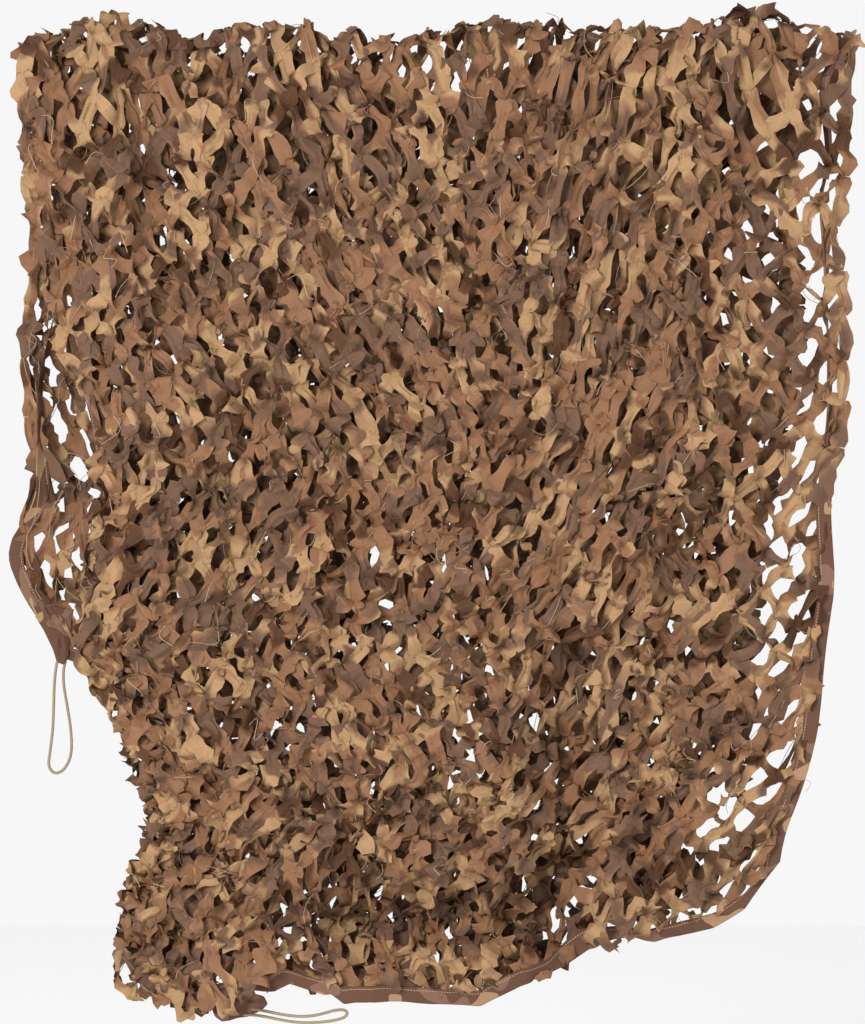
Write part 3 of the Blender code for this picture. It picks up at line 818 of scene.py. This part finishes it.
along = np.linspace(0, 1, TAPE_STEPS)
for side, edge_share, name in (("left", 0.0, "left_edge_tape"), ("right", 1.0, "right_edge_tape")):
    share = np.full(TAPE_STEPS, edge_share)
    outer = hung_place(share, along, inset=0.0)
    inner = hung_place(share, along, inset=TAPE_WIDTH - TAPE_LIP)
    beyond = hung_place(np.abs(share - 0.03), along, inset=0.0) - outer
    away = unit(np.cross(beyond if side == "left" else -beyond, np.gradient(outer, axis=0)))
    crown_at = int(np.argmax(outer[:, 2]))
    drop = -outer[:, 2]
    on_front = np.interp(drop, TAPE_ROLL["drop"], TAPE_ROLL["front_" + side])
    on_back = np.interp(drop, TAPE_ROLL["drop"], TAPE_ROLL["back_" + side])
    roll = np.where(np.arange(TAPE_STEPS) < crown_at, on_front, on_back)
    blur = np.ones(9) / 9
    roll = np.convolve(np.pad(roll, 4, mode="edge"), blur, mode="valid")
    flutter = waves(np.arange(TAPE_STEPS), np.zeros(TAPE_STEPS), 7, 1)
    roll = roll + flutter * np.where(roll > 85, 5, np.where(roll > 30, 24, 9))
    wave = 0.0016 * waves(np.arange(TAPE_STEPS), np.zeros(TAPE_STEPS), 5, 1)
    if side == "left":
        # On the back fall the left tape hangs twisted in behind the leaves.
        behind = np.interp(drop, [0.08, 0.16, 0.46, 0.56], [0, 1, 1, 0]) * (np.arange(TAPE_STEPS) > crown_at)
        behind = np.convolve(np.pad(behind, 4, mode="edge"), blur, mode="valid")[:, None]
        inner, outer = inner + behind * (0.020, 0.010, 0), outer + behind * (0.020, 0.010, 0)
    tape = tape_piece(name + "_sewn", name, inner, outer, away, roll, wave)
    tape.data.materials.append(woven)
for name, end_path in (("front_hem_tape", 0.0), ("back_hem_tape", 1.0)):
    path = np.full(TAPE_STEPS, end_path)
    outer = hung_place(along, path, inset=0.0)
    inner = hung_place(along, path, inset=TAPE_WIDTH - TAPE_LIP)
    beyond = hung_place(along, np.abs(path - 0.03), inset=0.0) - outer
    away = unit(np.cross(np.gradient(outer, axis=0), beyond if end_path == 0 else -beyond))
    flutter = waves(np.arange(TAPE_STEPS), np.zeros(TAPE_STEPS), 9, 1) * 16
    if end_path == 0:
        # The middle of the hem is carried forward, and it is lifted where the net is bunched on it.
        forward = np.interp(
            outer[:, 0], [-0.30, -0.25, -0.14, 0.10, 0.14, 0.20], [0, 0.008, 0.014, 0.014, 0.008, 0]
        )
        arch = np.interp(
            outer[:, 0],
            [-0.600, -0.290, -0.250, -0.195, -0.165, -0.145, -0.130, 0.140, 0.200, 0.290, 0.320],
            [0.016, 0.014, 0.004, 0.010, 0.014, -0.002, 0, 0, 0.010, 0.010, 0],
        )
        forward = forward[:, None] * (0, -1, 0) + arch[:, None] * (0, 0, 1)
        inner, outer = inner + forward, outer + forward
        rolled = np.interp(outer[:, 0], [-0.3, -0.25, 0.12, 0.15, 0.25, 0.40], [20, 0, 0, 34, 30, 4])
        flutter = flutter * 0.5 + rolled
    wave = 0.0026 * waves(np.arange(TAPE_STEPS), np.zeros(TAPE_STEPS), 4, 1)
    tape = tape_piece(name + "_sewn", name, inner, outer, away, flutter, wave)
    tape.data.materials.append(woven)


# ---------------------------------------------------------------------------------------------
# The tape corners. Where a hem tape meets a side tape the ends are folded over each other into a
# pointed tab and sewn down, with the two ends of the corner's cord loop caught inside it.
CORNER_TABS = {
    "back_corner_tab": (
        "left_edge_tape", 0.0455, 0.0050,
        [
            (-0.6150, -0.8690), (-0.6020, -0.8900), (-0.5880, -0.9190), (-0.5820, -0.9385),
            (-0.5700, -0.9430), (-0.5630, -0.9280), (-0.5600, -0.9000), (-0.5590, -0.8740),
            (-0.5560, -0.8580), (-0.5720, -0.8560), (-0.5880, -0.8510), (-0.6040, -0.8600),
        ],
    ),
    "front_corner_tab": (
        "front_hem_tape", -0.0550, 0.0065,
        [
            (-0.3440, -1.4380), (-0.3450, -1.4560), (-0.3400, -1.4690), (-0.3290, -1.4765),
            (-0.3160, -1.4745), (-0.3060, -1.4710), (-0.2900, -1.4690), (-0.2700, -1.4600),
            (-0.2600, -1.4500), (-0.2660, -1.4380), (-0.2880, -1.4320), (-0.3040, -1.4250),
            (-0.3260, -1.4270),
        ],
    ),
}
TAB_RINGS = [1.0, 0.93, 0.74, 0.50, 0.24]
TAB_SIDES = 48
for name, (node, at_y, half_thick, outline) in CORNER_TABS.items():
    outline = np.array(outline)
    closed = np.vstack([outline, outline[:1]])
    steps = np.linspace(0, len(outline), TAB_SIDES, endpoint=False)
    rim = np.stack([np.interp(steps, np.arange(len(closed)), closed[:, n]) for n in (0, 1)], axis=-1)
    middle = rim.mean(axis=0)
    # The rings run from the middle of the front out to the rim, then in to the middle of the back.
    rings = []
    for face, ring in [(-1, ring) for ring in TAB_RINGS[::-1]] + [(1, ring) for ring in TAB_RINGS[1:]]:
        flat = middle + (rim - middle) * ring
        puff = half_thick * (1 - ring**2) ** 0.4
        fold = 0.0016 * np.sin(steps * 2.1 + ring * 5) * (1 - ring) ** 0.3
        rings.append(np.stack([flat[:, 0], at_y + face * (puff + fold), flat[:, 1]], axis=-1))
    points = np.concatenate(rings)
    number = np.arange(len(points)).reshape(len(rings), TAB_SIDES)
    onward = np.roll(number, -1, axis=1)
    faces = np.stack([number[:-1], number[1:], onward[1:], onward[:-1]], axis=-1).reshape(-1, 4).tolist()
    faces += [number[0].tolist(), number[-1][::-1].tolist()]
    mesh = bpy.data.meshes.new(name)
    mesh.from_pydata(points.tolist(), [], faces)
    uv = mesh.uv_layers.new(name="along")
    corners = np.array([loop.vertex_index for loop in mesh.loops])
    uv.data.foreach_set("uv", np.float32(points[corners][:, [0, 2]] + (2.0, 2.0)).ravel())
    tab = smooth_piece(name, mesh)
    bpy.ops.object.mode_set(mode="EDIT")
    bpy.ops.mesh.select_all(action="SELECT")
    bpy.ops.mesh.normals_make_consistent(inside=False)
    bpy.ops.object.mode_set(mode="OBJECT")
    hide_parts(node)
    tab.data.materials.append(woven)


# ---------------------------------------------------------------------------------------------
# The corner loops. Braided polyester cord, doubled and sewn into the corners of the net, to tie
# it down by. The back left one hangs, and the front left one lies to the right under the hem.
CORD_DIAMETER = 0.0045
CORD_POINTS = 64
LOOPS = {
    "back_corner_loop": [
        (-0.5800, 0.0465, -0.9315), (-0.5835, 0.0475, -0.9480), (-0.5860, 0.0490, -0.9740),
        (-0.5870, 0.0500, -1.0050), (-0.5885, 0.0505, -1.0400), (-0.5925, 0.0510, -1.0740),
        (-0.5945, 0.0510, -1.0920), (-0.5905, 0.0515, -1.1030), (-0.5820, 0.0520, -1.1065),
        (-0.5720, 0.0520, -1.1010), (-0.5635, 0.0515, -1.0870), (-0.5600, 0.0510, -1.0680),
        (-0.5615, 0.0505, -1.0380), (-0.5665, 0.0500, -1.0050), (-0.5715, 0.0490, -0.9740),
        (-0.5720, 0.0475, -0.9520), (-0.5690, 0.0465, -0.9375),
    ],
    "front_corner_loop": [
        (-0.3215, -0.0530, -1.4610), (-0.3100, -0.0540, -1.4590), (-0.2950, -0.0560, -1.4570),
        (-0.2780, -0.0590, -1.4580), (-0.2600, -0.0620, -1.4610), (-0.2380, -0.0660, -1.4650),
        (-0.2150, -0.0690, -1.4675), (-0.1930, -0.0715, -1.4665), (-0.1750, -0.0730, -1.4625),
        (-0.1600, -0.0740, -1.4585), (-0.1475, -0.0745, -1.4575), (-0.1410, -0.0750, -1.4615),
        (-0.1445, -0.0755, -1.4680), (-0.1570, -0.0750, -1.4725), (-0.1760, -0.0740, -1.4755),
        (-0.2000, -0.0720, -1.4770), (-0.2240, -0.0690, -1.4755), (-0.2480, -0.0655, -1.4715),
        (-0.2700, -0.0615, -1.4675), (-0.2900, -0.0580, -1.4660), (-0.3080, -0.0550, -1.4670),
        (-0.3215, -0.0530, -1.4685),
    ],
}


def smooth_route(points, count):
    """Points on a smooth curve through the route's own points."""
    route = np.array(points)
    padded = np.vstack([2 * route[0] - route[1], route, 2 * route[-1] - route[-2]])
    found = []
    for place in np.linspace(0, len(route) - 1, count):
        i = min(int(place), len(route) - 2)
        t = place - i
        p0, p1, p2, p3 = padded[i : i + 4]
        found.append(
            0.5 * (2 * p1 + (p2 - p0) * t + (2 * p0 - 5 * p1 + 4 * p2 - p3) * t**2)
            + 0.5 * (3 * p1 - p0 - 3 * p2 + p3) * t**3
        )
    return found


braided, start, shader = new_material("braided_cord", 0.8)
along_cord = start.node("ShaderNodeTexCoord", out=2)
run = start.node("ShaderNodeSeparateXYZ", {"Vector": along_cord})
around = start.node("ShaderNodeSeparateXYZ", {"Vector": along_cord}, out=1)
one_way = start.maths("SINE", run * 420.0 + around * 25.13)
other_way = start.maths("SINE", run * 420.0 - around * 25.13)
strands = start.maths("MAXIMUM", one_way, other_way)
# The cord's colour follows the braid's relief. It is darker in the grooves between the strands, which is
# painted shade, and lighter on their crowns.
colour = mixed(strands * 0.5 + 0.5, (0.13, 0.095, 0.06, 1), (0.33, 0.25, 0.165, 1))
start.tree.links.new(colour.socket, shader.inputs["Base Color"])
bump = start.node("ShaderNodeBump", {"Height": strands, "Strength": 0.6, "Distance": 0.0006})
start.tree.links.new(bump.socket, shader.inputs["Normal"])
for node, route in LOOPS.items():
    curve = bpy.data.curves.new(node + "_braid", "CURVE")
    curve.dimensions = "3D"
    curve.bevel_depth, curve.bevel_resolution, curve.use_fill_caps = CORD_DIAMETER / 2, 4, True
    line = curve.splines.new("POLY")
    places = smooth_route(route, CORD_POINTS)
    line.points.add(len(places) - 1)
    for point, place in zip(line.points, places):
        point.co = (*place, 1)
    line.use_smooth = True
    curve.materials.append(braided)
    loop = bpy.data.objects.new(node + "_braid", curve)
    bpy.context.collection.objects.link(loop)
    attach(loop, "root")
    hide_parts(node)


# ---------------------------------------------------------------------------------------------
# The floor, the lights and the camera.
bpy.ops.object.select_all(action="DESELECT")
bpy.ops.mesh.primitive_plane_add(size=12, location=(0, 2.0, -1.75))
bpy.ops.object.transform_apply(location=True)
floor = bpy.context.active_object
floor.name = "floor"
paper, start, shader = new_material("pale_floor", 0.9)
shader.inputs["Base Color"].default_value = (0.93, 0.93, 0.93, 1)
floor.data.materials.append(paper)

world = bpy.data.worlds.new("studio")
bpy.context.scene.world = world
world.use_nodes = True
world.node_tree.nodes["Background"].inputs["Color"].default_value = (1, 1, 1, 1)
world.node_tree.nodes["Background"].inputs["Strength"].default_value = 0.93
bpy.context.scene.view_settings.view_transform = "Standard"


def soft_light(name, place, aim, size, watts):
    data = bpy.data.lights.new(name, "AREA")
    data.shape = "SQUARE"
    data.size, data.energy = size, watts
    light = bpy.data.objects.new(name, data)
    bpy.context.collection.objects.link(light)
    x, y, z = (a - p for a, p in zip(aim, place))
    light.location = place
    light.rotation_euler = (math.atan2(math.hypot(x, y), -z), 0, math.atan2(-x, y))


soft_light("key_light", (-2.6, -5.6, 0.8), (0, 0, -0.9), 1.9, 380)
soft_light("fill_light", (2.6, -3.2, -0.9), (0, 0, -0.9), 2.4, 36)
camera_data = bpy.data.cameras.new("camera")
camera = bpy.data.objects.new("camera", camera_data)
bpy.context.collection.objects.link(camera)
DISTANCE, HALF_HEIGHT, NET_FRONT = 12.0, 0.768, 0.07
camera_data.sensor_fit = "VERTICAL"
camera_data.angle = 2 * math.atan(HALF_HEIGHT / (DISTANCE - NET_FRONT))
camera.location = (-0.013, -DISTANCE, -0.711)
camera.rotation_euler = (math.radians(90), 0, 0)
bpy.context.scene.camera = camera
